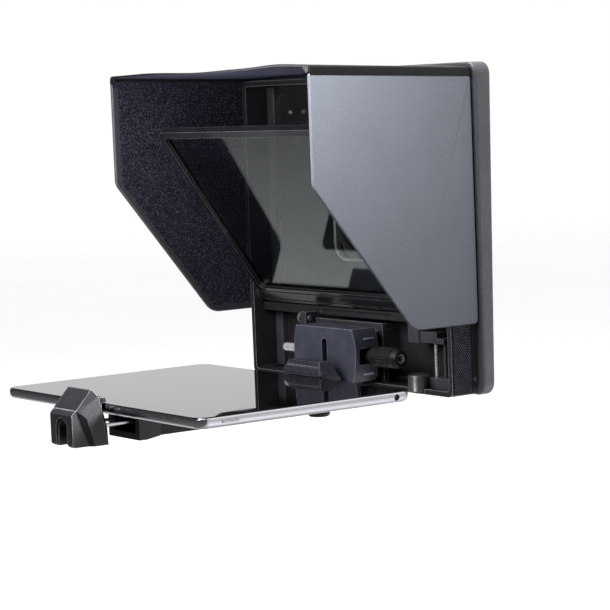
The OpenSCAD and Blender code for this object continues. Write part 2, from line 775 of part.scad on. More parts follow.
rear_frame();
back_plate();
rear_cover();
window_trim();
lens_socket();
lens_adapter_ring();
ring_lock_screw();
cover_screws();
housing_box();
box_screws();
inner_rail();  // inner_rail_left
mirror([1, 0, 0]) inner_rail();  // inner_rail_right
cross_bar();
base_block();
tripod_insert();
mirror([1, 0, 0]) hook_tape_side();  // hook_tape_left
hook_tape_side();  // hook_tape_right
hook_tape_top();
hood_top();
mirror([1, 0, 0]) hood_fold();  // hood_hinge_left
hood_fold();  // hood_hinge_right
mirror([1, 0, 0]) hood_board();  // hood_left
hood_board();  // hood_right
mirror([1, 0, 0]) hinge_bracket();  // hinge_bracket_left
hinge_bracket();  // hinge_bracket_right
glass_hinge_pins();
hinge_screws();
glass_frame();
beam_splitter_glass();
glass_gasket();
glass_retainer();
retainer_screws();
mount_plate();
plate_screws();
rail_blocks();
rail_rods();
release_knob();
foot_knob();
tilt_shaft();
tilt_knob();
tilt_knob_ring();
tilt_block();
block_clips();
arm_channel();
arm_collar();
arm_lock_knob();
rear_jaw();
rear_jaw_pad();
jaw_guide_nut();
front_jaw();
front_jaw_pad();
jaw_rods();
jaw_slider();
jaw_screws();
tablet_case();
tablet_screen();
volume_button(tablet_w / 2 - 32);  // volume_up_button
volume_button(tablet_w / 2 - 46);  // volume_down_button
power_button();
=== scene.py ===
"""The looks of the folding teleprompter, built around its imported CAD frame."""

import json
import math

import bmesh
import bpy
from mathutils import Matrix, Vector, noise


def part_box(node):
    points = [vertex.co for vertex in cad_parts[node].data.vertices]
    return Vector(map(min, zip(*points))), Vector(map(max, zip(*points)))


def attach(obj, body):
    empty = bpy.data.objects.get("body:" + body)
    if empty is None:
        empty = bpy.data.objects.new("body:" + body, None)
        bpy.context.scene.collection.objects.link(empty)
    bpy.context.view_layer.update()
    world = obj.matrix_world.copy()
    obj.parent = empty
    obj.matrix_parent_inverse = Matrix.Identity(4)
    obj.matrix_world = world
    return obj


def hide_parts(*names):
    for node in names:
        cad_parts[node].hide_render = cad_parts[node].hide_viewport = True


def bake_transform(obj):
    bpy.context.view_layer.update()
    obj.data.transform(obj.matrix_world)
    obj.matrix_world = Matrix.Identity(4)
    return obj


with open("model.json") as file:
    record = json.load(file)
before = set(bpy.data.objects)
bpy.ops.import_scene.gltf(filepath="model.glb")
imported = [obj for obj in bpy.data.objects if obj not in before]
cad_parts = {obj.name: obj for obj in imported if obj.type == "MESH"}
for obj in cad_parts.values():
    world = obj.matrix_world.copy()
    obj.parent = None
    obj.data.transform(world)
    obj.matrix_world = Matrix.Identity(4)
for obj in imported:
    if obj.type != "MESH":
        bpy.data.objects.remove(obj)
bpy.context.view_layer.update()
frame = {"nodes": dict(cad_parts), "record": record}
NODES = frame["nodes"]
SCENE = bpy.context.scene
MM = 0.001

# Datums, from the frame
FRAME_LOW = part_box("rear_frame")[0]
BOX_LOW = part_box("housing_box")[0]
BOARD_LOW, BOARD_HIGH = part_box("hood_right")
FOLD_LOW, FOLD_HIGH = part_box("hood_hinge_right")
ROOF_LOW, ROOF_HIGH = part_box("hood_top")
TABLET_LOW, TABLET_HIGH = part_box("tablet_case")
FRONT = FRAME_LOW.y
FOLD_R = (FOLD_HIGH.x - FOLD_LOW.x) / 2
FOLD_X = (FOLD_LOW.x + FOLD_HIGH.x) / 2
RISE = (FOLD_HIGH.z - FOLD_LOW.z - 2 * FOLD_R) / (FOLD_HIGH.y - FOLD_LOW.y)  # slope of the hood's folds
FLOOR_DROP = 0.30  # how far the floor lies below the lens axis
FLOOR_RADIUS = 5.5


# ---------------------------------------------------------------- materials

def rgb(r, g, b):
    """A colour on the 0 to 255 display scale, as linear RGBA."""
    linear = []
    for level in (r / 255, g / 255, b / 255):
        linear.append(level / 12.92 if level < 0.0404 else ((level + 0.055) / 1.055) ** 2.4)
    return (*linear, 1.0)


def grey(level):
    """A grey of a linear level, as RGBA."""
    return (level, level, level, 1.0)


class Finish:
    """A procedural material: one Principled shader, and the textures that feed it."""

    def __init__(self, name, **sockets):
        self.material = bpy.data.materials.new(name)
        self.material.use_nodes = True
        self.tree = self.material.node_tree
        self.tree.nodes.clear()
        output = self.tree.nodes.new("ShaderNodeOutputMaterial")
        self.shader = self.tree.nodes.new("ShaderNodeBsdfPrincipled")
        self.tree.links.new(self.shader.outputs["BSDF"], output.inputs["Surface"])
        self.place = self.tree.nodes.new("ShaderNodeTexCoord").outputs["Object"]
        self.height = None
        for key, value in sockets.items():
            self.shader.inputs[key.replace("_", " ")].default_value = value

    def node(self, kind, source=None, **values):
        made = self.tree.nodes.new(kind)
        for key, value in values.items():
            if key in made.inputs.keys():
                made.inputs[key].default_value = value
            else:
                setattr(made, key, value)
        if source is not None:
            self.tree.links.new(source, made.inputs[0])
        return made

    def stretched(self, x=1.0, y=1.0, z=1.0):
        """Object coordinates scaled along each axis, for brushed or woven detail."""
        mapping = self.node("ShaderNodeMapping", self.place)
        mapping.inputs["Scale"].default_value = (x, y, z)
        return mapping.outputs["Vector"]

    def noise(self, size, detail=3.0, place=None, distortion=0.0):
        """Cloudy noise from 0 to 1 whose features are about size across, in metres."""
        made = self.node("ShaderNodeTexNoise", place or self.place, Scale=1 / size)
        made.inputs["Detail"].default_value = detail
        made.inputs["Distortion"].default_value = distortion
        return made.outputs["Fac"]

    def cells(self, size):
        """Distance to the nearest of a scatter of points about size apart."""
        return self.node("ShaderNodeTexVoronoi", self.place, Scale=1 / size).outputs["Distance"]

    def levels(self, source, low, high, start=0.35, end=0.65):
        """source spread over low to high, as a plain number."""
        made = self.node("ShaderNodeMapRange", source)
        made.inputs["From Min"].default_value = start
        made.inputs["From Max"].default_value = end
        made.inputs["To Min"].default_value = low
        made.inputs["To Max"].default_value = high
        return made.outputs["Result"]

    def mixed(self, share, a, b):
        """Two colours, or colour sources, mixed by a share."""
        made = self.node("ShaderNodeMix", data_type="RGBA")
        self.tree.links.new(share, made.inputs[0])
        for socket, value in ((made.inputs[6], a), (made.inputs[7], b)):
            if hasattr(value, "is_output"):
                self.tree.links.new(value, socket)
            else:
                socket.default_value = value
        return made.outputs[2]

    def clouded(self, size, detail, dark, light):
        """Two colours in soft clouds about size across."""
        return self.mixed(self.levels(self.noise(size, detail), 0, 1), dark, light)

    def wear_and_painted_light(self, colour, bright, radius=0.5 * MM):
        """colour with its sharp edges brightened towards a lighter one, part wear and part painted
        highlight, and darkened by painted shade in its recesses.
        """
        rounded = self.node("ShaderNodeBevel", samples=6)
        rounded.inputs["Radius"].default_value = radius
        turn = self.node("ShaderNodeVectorMath", rounded.outputs[0], operation="DOT_PRODUCT")
        self.tree.links.new(self.node("ShaderNodeNewGeometry").outputs["Normal"], turn.inputs[1])
        # edge mask: edges lighten towards the bright colour, part rubbed wear and part painted highlight
        edge = self.levels(turn.outputs["Value"], 1, 0, 0.84, 0.985)
        scuff_and_highlight = self.node("ShaderNodeMath", edge, operation="MULTIPLY")
        self.tree.links.new(self.levels(self.noise(3 * MM, 4), 0.45, 1.0), scuff_and_highlight.inputs[1])
        # ambient occlusion darkens the colour in recesses and between parts: painted shade
        open_air = self.node("ShaderNodeAmbientOcclusion", samples=6, Distance=9 * MM).outputs["AO"]
        painted_recess_shade = self.levels(open_air, 0.18, 1.0, 0.12, 0.72)
        wear_and_highlight = self.mixed(scuff_and_highlight.outputs[0], colour, bright)
        shade = self.node("ShaderNodeVectorMath", wear_and_highlight, operation="SCALE")
        self.tree.links.new(painted_recess_shade, shade.inputs["Scale"])
        return shade.outputs["Vector"]

    def rounded(self, radius):
        """Shades sharp edges as if they were rounded by radius."""
        made = self.node("ShaderNodeBevel", samples=8)
        made.inputs["Radius"].default_value = radius
        self.height = made.outputs[0]
        return self

    def colour(self, source):
        self.tree.links.new(source, self.shader.inputs["Base Color"])
        return self

    def rough(self, source, low, high, start=0.35, end=0.65):
        self.tree.links.new(self.levels(source, low, high, start, end), self.shader.inputs["Roughness"])
        return self

    def bump(self, source, depth, strength=1.0):
        """Raises the surface where source is high, by depth metres at most."""
        made = self.node("ShaderNodeBump", Distance=depth, Strength=strength)
        self.tree.links.new(source, made.inputs["Height"])
        if self.height is not None:
            self.tree.links.new(self.height, made.inputs["Normal"])
        self.height = made.outputs["Normal"]
        self.tree.links.new(self.height, self.shader.inputs["Normal"])
        return self


def moulded(name, dark, light, rim_highlight, rough=(0.42, 0.56), grain=0.35 * MM, depth=0.03 * MM, **sockets):
    """Moulded plastic: a fine spark-eroded grain, faint mottling, edges brightened towards the rim colour
    by wear and painted highlight, and painted shade in recesses.
    """
    finish = Finish(name, **sockets)
    body = finish.clouded(9 * MM, 4, dark, light)
    # edges lighten towards the rim colour, part wear and part painted highlight; recesses get painted shade
    finish.colour(finish.wear_and_painted_light(body, rim_highlight))
    finish.rough(finish.noise(0.9 * MM, 4), *rough)
    return finish.bump(finish.noise(grain, 4), depth).material


def painted_metal():
    """Dark grey powder coat on the rear frame: satin, with a fine orange peel."""
    finish = Finish("frame_powder_coat", Metallic=0.25, Coat_Weight=0.12, Coat_Roughness=0.25)
    speck = finish.levels(finish.noise(0.45 * MM, 2), 0, 1, 0.45, 0.75)
    body = finish.clouded(30 * MM, 3, rgb(88, 91, 96), rgb(97, 100, 105))
    # edges lighten towards pale grey, part wear and part painted highlight; recesses get painted shade
    finish.colour(finish.wear_and_painted_light(finish.mixed(speck, body, rgb(124, 126, 131)), rgb(192, 195, 200), 1.2 * MM))
    finish.rough(finish.noise(4 * MM, 4), 0.34, 0.46)
    finish.rounded(2.2 * MM)
    return finish.bump(finish.noise(0.7 * MM, 3), 0.025 * MM).material


def board_skin():
    """Gunmetal leathercloth on the outside of the hood boards: pearly pigment and a fine pebble grain."""
    finish = Finish("hood_skin", Metallic=0.2, Specular_IOR_Level=0.4)
    cloud = finish.levels(finish.noise(40 * MM, 3), 0, 1)
    body = finish.mixed(cloud, rgb(61, 64, 70), rgb(67, 70, 77))
    body = finish.mixed(finish.levels(finish.noise(0.6 * MM, 2), 0, 1, 0.4, 0.7), body, rgb(84, 87, 94))
    # edges lighten towards near white, part wear and part painted highlight; recesses get painted shade
    finish.colour(finish.wear_and_painted_light(body, rgb(215, 218, 222), 0.6 * MM))
    finish.rough(finish.noise(1.2 * MM, 4), 0.42, 0.54)
    finish.bump(finish.cells(0.5 * MM), 0.015 * MM, 0.6)
    return finish.bump(finish.noise(1.3 * MM, 2), 0.015 * MM, 0.5).material


def flock():
    """Matt flocked lining: dark navy fibres with paler stray tips."""
    finish = Finish(
        "hood_flock", Sheen_Weight=0.15, Sheen_Roughness=0.4, Sheen_Tint=rgb(150, 155, 190),
        Specular_IOR_Level=0.1,
    )
    fibre = finish.noise(0.8 * MM, 3)
    patch = finish.levels(finish.noise(14 * MM, 3), 0, 1)
    ground = finish.mixed(patch, rgb(15, 14, 21), rgb(21, 20, 28))
    tipped = finish.mixed(finish.levels(fibre, 0, 1, 0.46, 0.62), ground, rgb(52, 51, 65))
    stray = finish.levels(finish.cells(1.3 * MM), 1, 0, 0.10, 0.26)
    finish.colour(finish.mixed(stray, tipped, rgb(104, 104, 120)))
    finish.rough(fibre, 0.85, 1.0)
    finish.bump(fibre, 0.30 * MM)
    return finish.bump(finish.cells(1.0 * MM), 0.2 * MM, 0.8).material


def flock_border():
    """Pressed edge of the lining, where the flock is thin and greyer."""
    finish = Finish("hood_flock_edge", Sheen_Weight=0.15, Sheen_Roughness=0.5, Specular_IOR_Level=0.2)
    fibre = finish.noise(0.8 * MM, 3)
    finish.colour(finish.mixed(finish.levels(fibre, 0, 1, 0.4, 0.65), rgb(34, 32, 36), rgb(56, 53, 57)))
    finish.rough(fibre, 0.7, 0.9)
    return finish.bump(fibre, 0.12 * MM).material


def fold_skin():
    """Semi-gloss black leathercloth that wraps the roof and its folds."""
    finish = Finish("hood_fold_skin", Coat_Weight=0.1, Coat_Roughness=0.2, Specular_IOR_Level=0.35)
    finish.colour(finish.clouded(6 * MM, 4, rgb(15, 14, 17), rgb(23, 22, 26)))
    finish.rough(finish.noise(3 * MM, 4), 0.40, 0.54)
    finish.bump(finish.cells(0.6 * MM), 0.03 * MM, 0.6)
    return finish.bump(finish.noise(5 * MM, 2), 0.15 * MM, 0.4).material


def gloss_black():
    """Polished black moulding of the glass frame, with faint swirl marks."""
    finish = Finish("frame_gloss_black", Specular_IOR_Level=0.35)
    body = finish.clouded(20 * MM, 3, rgb(24, 24, 27), rgb(33, 33, 37))
    # edges lighten towards grey, part wear and part painted highlight; recesses get painted shade
    finish.colour(finish.wear_and_painted_light(body, rgb(120, 120, 125)))
    finish.rough(finish.noise(1.5 * MM, 5), 0.14, 0.24)
    return finish.bump(finish.noise(2.2 * MM, 3), 0.003 * MM).material


def mirror_glass():
    """Thin-coated beam-splitter glass: clear, faintly green, with a trace of dust in its gloss."""
    finish = Finish("beam_glass", Transmission_Weight=1.0, IOR=1.50, Specular_Tint=(0.84, 0.93, 0.95, 1.0))
    smear = finish.noise(18 * MM, 4, finish.stretched(3.0, 1.0, 0.6))
    finish.colour(finish.mixed(finish.levels(smear, 0, 1), rgb(212, 222, 221), rgb(220, 230, 229)))
    return finish.rough(smear, 0.0, 0.015, 0.5, 0.75).material


def rubber():
    """Soft black rubber of the pads and the gasket."""
    finish = Finish("soft_rubber", Specular_IOR_Level=0.3)
    finish.colour(finish.clouded(2 * MM, 4, rgb(20, 20, 21), rgb(31, 31, 32)))
    finish.rough(finish.noise(0.8 * MM, 4), 0.72, 0.88)
    return finish.bump(finish.noise(0.3 * MM, 3), 0.03 * MM).material


def knurled_rubber():
    """Brownish black rubber of the thumb knobs."""
    finish = Finish("knob_rubber", Specular_IOR_Level=0.25)
    body = finish.clouded(3 * MM, 4, rgb(20, 17, 18), rgb(29, 25, 25))
    # edges lighten towards a paler grey, part wear and part painted highlight; recesses get painted shade
    finish.colour(finish.wear_and_painted_light(body, rgb(98, 92, 92)))
    finish.rough(finish.noise(1 * MM, 4), 0.38, 0.54)
    return finish.bump(finish.noise(0.4 * MM, 3), 0.03 * MM).material


def steel():
    """Bright turned steel: fine tool rings and a few darker spots."""
    finish = Finish("bright_steel", Metallic=1.0, Anisotropic=0.35)
    ring = finish.noise(0.25 * MM, 2, finish.stretched(4.0, 1.0, 1.0))
    finish.colour(finish.clouded(3 * MM, 4, rgb(196, 197, 200), rgb(222, 223, 226)))
    finish.rough(ring, 0.16, 0.32)
    return finish.bump(ring, 0.006 * MM).material


def rod_steel_painted_light(name, dim_from):
    """Ground steel of the small rods and clips: a pale, half-diffuse colour that keeps them bright where
    they lie in shade, a painted highlight, and painted shade that darkens them past an X.
    """
    finish = Finish(name, Metallic=0.55, Specular_IOR_Level=0.8)
    ground = finish.noise(0.3 * MM, 2)
    # very pale colour, so the rods read bright where they are in shade: painted highlight
    body = finish.clouded(4 * MM, 3, rgb(214, 215, 218), rgb(244, 244, 246))
    deep = finish.node("ShaderNodeSeparateXYZ", finish.place).outputs["X"]
    # past the given X along its length the rod turns dark grey: painted shade
    dim = finish.levels(deep, 0, 1, dim_from, dim_from + 1 * MM)
    finish.colour(finish.mixed(dim, body, rgb(96, 97, 100)))
    finish.rough(ground, 0.22, 0.34)
    return finish.bump(ground, 0.006 * MM).material


def brass():
    """Turned brass of the threaded insert."""
    finish = Finish("turned_brass", Metallic=1.0)
    ring = finish.noise(0.3 * MM, 2, finish.stretched(1.0, 1.0, 5.0))
    finish.colour(finish.clouded(2 * MM, 4, rgb(176, 140, 72), rgb(206, 172, 100)))
    finish.rough(ring, 0.22, 0.38)
    return finish.bump(ring, 0.008 * MM).material


def anodised():
    """Black anodised aluminium of the lens ring and its socket."""
    finish = Finish("black_anodised", Metallic=0.75)
    ring = finish.noise(0.3 * MM, 2, finish.stretched(1.0, 4.0, 1.0))
    finish.colour(finish.clouded(5 * MM, 3, rgb(34, 34, 37), rgb(46, 46, 50)))
    finish.rough(ring, 0.28, 0.42)
    return finish.bump(ring, 0.01 * MM).material


def tablet_metal():
    """Bead-blasted aluminium of the tablet's case."""
    finish = Finish("tablet_blasted", Metallic=1.0)
    finish.colour(finish.clouded(0.4 * MM, 2, rgb(198, 199, 205), rgb(212, 213, 219)))
    finish.rough(finish.noise(0.7 * MM, 4), 0.12, 0.18)
    return finish.bump(finish.noise(0.18 * MM, 2), 0.008 * MM).material


def tablet_chamfer():
    """Diamond-cut bright edge round the tablet's screen."""
    finish = Finish("tablet_chamfer", Metallic=1.0)
    cut = finish.noise(0.2 * MM, 2, finish.stretched(1.0, 1.0, 6.0))
    finish.colour(finish.mixed(finish.levels(cut, 0, 1), rgb(220, 221, 224), rgb(238, 239, 241)))
    return finish.rough(cut, 0.06, 0.14).material


def screen_glass():
    """The tablet's switched-off screen: black under clear glass, with faint finger smears."""
    finish = Finish("tablet_screen", IOR=1.52, Specular_Tint=(1.0, 0.965, 1.0, 1.0))
    smear = finish.noise(22 * MM, 5, finish.stretched(1.0, 2.2, 1.0), 0.6)
    finish.colour(finish.mixed(finish.levels(smear, 0, 1), rgb(8, 8, 10), rgb(13, 13, 16)))
    return finish.rough(smear, 0.015, 0.05, 0.45, 0.75).material


def tape_base():
    """Woven ground of the hook tape."""
    finish = Finish("hook_tape_ground", Sheen_Weight=0.1, Specular_IOR_Level=0.25)
    weave = finish.noise(0.5 * MM, 2, finish.stretched(1.0, 1.0, 2.5))
    finish.colour(finish.mixed(finish.levels(weave, 0, 1), rgb(9, 10, 14), rgb(18, 19, 26)))
    finish.rough(weave, 0.7, 0.9)
    return finish.bump(weave, 0.08 * MM).material


def tape_hooks():
    """Bluish grey nylon of the hooks."""
    finish = Finish("hook_tape_nylon", Specular_IOR_Level=0.6, Coat_Weight=0.15)
    finish.colour(finish.clouded(4 * MM, 3, rgb(62, 70, 88), rgb(112, 121, 142)))
    return finish.rough(finish.noise(1 * MM, 3), 0.35, 0.5).material


def pale_rim():
    """Pale satin plastic round the lens window."""
    finish = Finish("window_rim", Specular_IOR_Level=0.5)
    finish.colour(finish.clouded(5 * MM, 4, rgb(176, 178, 182), rgb(198, 200, 203)))
    finish.rough(finish.noise(1.5 * MM, 4), 0.35, 0.5)
    return finish.bump(finish.noise(0.4 * MM, 3), 0.02 * MM).material


# The third colour of each moulded finish is its rim: edges lighten towards it, part wear and part painted
# highlight, and recesses get painted shade.
MATERIALS = {
    "frame_metal": painted_metal(),
    "moulded_black": moulded("moulded_black", rgb(26, 24, 28), rgb(34, 32, 37), rgb(96, 95, 101)),
    "window_rim": pale_rim(),
    "black_anodised": anodised(),
    "bright_steel": steel(),
    "brass_insert": brass(),
    "hook_tape": tape_hooks(),
    "hood_outer": board_skin(),
    "hood_flock": flock(),
    "hood_fold": fold_skin(),
    "frame_gloss": gloss_black(),
    "beam_glass": mirror_glass(),
    "black_rubber": rubber(),
    "holder_grey": moulded(
        "holder_grey", rgb(60, 62, 74), rgb(69, 71, 84), rgb(215, 217, 228), (0.30, 0.42)
    ),
    "arm_dark": moulded("arm_dark", rgb(17, 17, 19), rgb(25, 25, 27), rgb(70, 70, 74)),
    "knob_rubber": knurled_rubber(),
    "tablet_metal": tablet_metal(),
    "tablet_glass": screen_glass(),
}
CHAMFER = tablet_chamfer()
TAPE_GROUND = tape_base()
FLOCK_BORDER = flock_border()
# As above, each moulded rim colour is part wear and part painted highlight, and recesses get painted shade.
RAIL_GREY = moulded("rail_grey", rgb(56, 54, 60), rgb(66, 64, 70), rgb(130, 130, 136), (0.36, 0.5))
JAW_GREY = moulded(
    "jaw_grey", rgb(24, 23, 27), rgb(30, 29, 33), rgb(176, 177, 181), (0.28, 0.38), 0.3 * MM, 0.01 * MM
)
JAW_LILAC = moulded(
    "jaw_lilac", rgb(42, 40, 49), rgb(49, 47, 57), rgb(240, 240, 248), (0.24, 0.34), 0.3 * MM, 0.01 * MM
)
PLATE_DARK = moulded("plate_dark", rgb(40, 38, 44), rgb(50, 48, 54), rgb(225, 226, 232))
KNOB_GREY = moulded(
    "knob_grey", rgb(34, 34, 38), rgb(44, 44, 48), rgb(150, 151, 156), (0.34, 0.40), 0.3 * MM,
    0.002 * MM, Coat_Weight=0.2, Coat_Roughness=0.3,
)
DISC_GREY = moulded("disc_grey", rgb(76, 74, 80), rgb(88, 86, 92), rgb(240, 240, 244))
ROD_STEEL_PAINTED_LIGHT = rod_steel_painted_light("rod_steel_painted_light", 74 * MM)
SHAFT_STEEL_PAINTED_LIGHT = rod_steel_painted_light("shaft_steel_painted_light", 10 * MM)
BOX_BLACK = moulded("box_black", rgb(26, 24, 28), rgb(34, 32, 37), rgb(205, 205, 212))
ARM_DARK = moulded("arm_graphite", rgb(12, 12, 14), rgb(18, 18, 20), rgb(80, 80, 84))
OWN_FINISH = {  # nodes whose finish differs a little from their slot's
    "inner_rail_left": RAIL_GREY, "inner_rail_right": RAIL_GREY, "rail_blocks": RAIL_GREY,
    "front_jaw": JAW_GREY, "arm_collar": JAW_GREY, "rear_jaw": JAW_LILAC, "mount_plate": PLATE_DARK,
    "foot_knob": KNOB_GREY, "release_knob": DISC_GREY, "rail_rods": ROD_STEEL_PAINTED_LIGHT, "tilt_shaft": SHAFT_STEEL_PAINTED_LIGHT,
    "block_clips": ROD_STEEL_PAINTED_LIGHT, "tilt_knob_ring": ROD_STEEL_PAINTED_LIGHT, "arm_channel": ARM_DARK,
    "housing_box": BOX_BLACK,
}


# ---------------------------------------------------------------- mesh helpers

def add_piece(name, verts, faces, materials, body, face_materials=None, sharp=38):
    """A smooth-shaded mesh piece with outward normals; it rides a body unless that is None."""
    mesh = bpy.data.meshes.new(name)
    mesh.from_pydata([tuple(v) for v in verts], [], faces)
    for material in materials:
        mesh.materials.append(material)
    if face_materials:
        mesh.polygons.foreach_set("material_index", face_materials)
    work = bmesh.new()
    work.from_mesh(mesh)
    bmesh.ops.recalc_face_normals(work, faces=work.faces)
    work.to_mesh(mesh)
    work.free()
    mesh.polygons.foreach_set("use_smooth", [True] * len(mesh.polygons))
    mesh.set_sharp_from_angle(angle=math.radians(sharp))
    piece = bpy.data.objects.new(name, mesh)
    normals = piece.modifiers.new("normals", "WEIGHTED_NORMAL")
    normals.keep_sharp = True
    SCENE.collection.objects.link(piece)
    if body:
        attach(piece, body)
    return piece


def skin(rings):
    """Vertices and faces over a stack of closed rings of equal length, capped at both ends."""
    count = len(rings[0])
    verts = [point for ring in rings for point in ring]
    faces = []
    for j in range(len(rings) - 1):
        for i in range(count):
            k = (i + 1) % count
            faces.append((j * count + i, j * count + k, (j + 1) * count + k, (j + 1) * count + i))
    faces.append(tuple(range(count - 1, -1, -1)))
    last = (len(rings) - 1) * count
    faces.append(tuple(range(last, last + count)))
    return verts, faces


def round_corners(points, radii, steps=8):
    """A closed outline with each corner rounded to its radius."""
    outline = []
    for i, (corner, radius) in enumerate(zip(points, radii)):
        before = (Vector(points[i - 1]) - Vector(corner)).normalized()
        after = (Vector(points[(i + 1) % len(points)]) - Vector(corner)).normalized()
        half = math.acos(max(-1.0, min(1.0, before.dot(after)))) / 2
        centre = Vector(corner) + (before + after).normalized() * radius / math.sin(half)
        start = Vector(corner) + before * radius / math.tan(half) - centre
        end = Vector(corner) + after * radius / math.tan(half) - centre
        turn = math.atan2(start.x * end.y - start.y * end.x, start.dot(end))
        for step in range(steps + 1):
            angle = turn * step / steps
            outline.append(centre + Matrix.Rotation(angle, 2) @ start)
    return outline


def inset(outline, distance):
    """The outline moved inwards by distance."""
    area = sum(a.x * b.y - a.y * b.x for a, b in zip(outline, outline[1:] + outline[:1]))
    side = 1 if area > 0 else -1
    moved = []
    for i, point in enumerate(outline):
        before = (point - outline[i - 1]).normalized()
        after = (outline[(i + 1) % len(outline)] - point).normalized()
        normal = Vector((-before.y - after.y, before.x + after.x)).normalized() * side
        moved.append(point + normal * distance / max(0.5, normal.dot(Vector((-after.y, after.x)) * side)))
    return moved


def half_round(thickness, radius, steps=4):
    """Pairs of inset and height that round both edges of a panel."""
    bottom = [(radius * (1 - math.sin(a)), radius * (1 - math.cos(a)))
              for a in (math.pi / 2 * i / steps for i in range(steps + 1))]
    return bottom + [(d, thickness - h) for d, h in reversed(bottom)]


# ---------------------------------------------------------------- CAD nodes that carry over

EDGES = {  # how far each node's edges are rounded, mm
    "tilt_knob_ring": 0.05, "block_clips": 0.08,
    "rear_frame": 0.9, "housing_box": 0.4, "back_plate": 0.3, "rear_cover": 0.5, "window_trim": 0.25,
    "lens_socket": 0.35, "lens_adapter_ring": 0.2, "inner_rail_left": 0.4, "inner_rail_right": 0.4,
    "cross_bar": 0.4, "base_block": 0.4, "tripod_insert": 0.15, "glass_frame": 0.5, "glass_retainer": 0.3,
    "glass_gasket": 0.1, "beam_splitter_glass": 0.3, "hinge_bracket_left": 0.4, "hinge_bracket_right": 0.4,
    "mount_plate": 0.7, "rail_blocks": 0.5, "rail_rods": 0.2, "tilt_block": 0.6, "tilt_knob": 0.2,
    "tilt_shaft": 0.2, "release_knob": 0.2, "foot_knob": 0.25, "arm_channel": 0.4, "arm_collar": 0.35,
    "arm_lock_knob": 0.2, "rear_jaw": 0.35, "rear_jaw_pad": 0.2, "front_jaw": 0.6, "front_jaw_pad": 0.25,
    "jaw_rods": 0.2, "jaw_slider": 0.3, "jaw_guide_nut": 0.12, "glass_hinge_pins": 0.2,
}
SMALL_EDGE = 0.08  # screws and buttons, mm


def soften(node, width):
    """Rounds a CAD node's edges by width, without touching its own mesh."""
    weld = node.modifiers.new("weld", "WELD")
    weld.merge_threshold = 2e-6
    flats = node.modifiers.new("flats", "DECIMATE")
    flats.decimate_type = "DISSOLVE"
    flats.angle_limit = math.radians(0.5)
    bevel = node.modifiers.new("edges", "BEVEL")
    bevel.width = width
    bevel.segments = 3
    bevel.limit_method = "ANGLE"
    bevel.angle_limit = math.radians(30)
    bevel.use_clamp_overlap = True
    normals = node.modifiers.new("normals", "WEIGHTED_NORMAL")
    normals.keep_sharp = True


def dress_cad_nodes():
    """Gives each CAD node its slot's material and its softened edges."""
    slots = {part["node"]: part["material_slot"] for part in frame["record"]["subparts"]}
    for name, node in NODES.items():
        node.data.materials.clear()
        node.data.materials.append(OWN_FINISH.get(name, MATERIALS[slots[name]]))
        node.data.polygons.foreach_set("use_smooth", [True] * len(node.data.polygons))
        soften(node, EDGES.get(name, SMALL_EDGE) * MM)


# ---------------------------------------------------------------- hood

BOARD_NOSE = FRAME_LOW.z + 121 * MM  # height of the board's nose corner
BOARD_FOOT = FRONT - 46 * MM         # where its slanted edge meets its bottom
LINING = 0.4 * MM                    # thickness of the flocked lining
LINING_INSET = 0.9 * MM
BORDER = 3.0 * MM                    # width of the lining's pressed edge
SKIN_EDGE = 0.9 * MM                 # radius of the board's wrapped edges
CELL = 1.05 * MM                     # spacing of the lining's mesh
ROOF_EDGE = 0.6 * MM                 # radius of the roof's front and rear edges


def fold_axis(y):
    """Height of the folds' axis at a place along the hood."""
    return FOLD_LOW.z + FOLD_R + (FOLD_HIGH.y - y) * RISE


def board_outline():
    top = FOLD_R + 0.15 * MM
    corners = [
        (BOARD_HIGH.y, fold_axis(BOARD_HIGH.y) - top), (BOARD_LOW.y, fold_axis(BOARD_LOW.y) - top),
        (BOARD_LOW.y, BOARD_NOSE), (BOARD_FOOT, BOARD_LOW.z), (BOARD_HIGH.y, BOARD_LOW.z),
    ]
    return round_corners(corners, [0.8 * MM, 1.0 * MM, 8 * MM, 12 * MM, 2.5 * MM])


def hood_board(side, name, body, node):
    """One side board: a leathercloth shell whose edges wrap round."""
    outer = BOARD_HIGH.x
    depth = BOARD_HIGH.x - BOARD_LOW.x - LINING
    outline = board_outline()
    rings = []
    for distance, height in half_round(depth, SKIN_EDGE):
        rings.append([Vector((side * (outer - height), p.x, p.y)) for p in inset(outline, distance)])
    verts, faces = skin(rings)
    board = add_piece(name, verts, faces, [MATERIALS["hood_outer"]], body)
    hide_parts(node)


def edge_at(ring, z):
    """The front and rear edges of an outline at height z."""
    crossings = []
    for a, b in zip(ring, ring[1:] + ring[:1]):
        if (a.y - z) * (b.y - z) <= 0 and abs(a.y - b.y) > 1e-9:
            crossings.append(a.x + (z - a.y) / (b.y - a.y) * (b.x - a.x))
    return min(crossings), max(crossings)


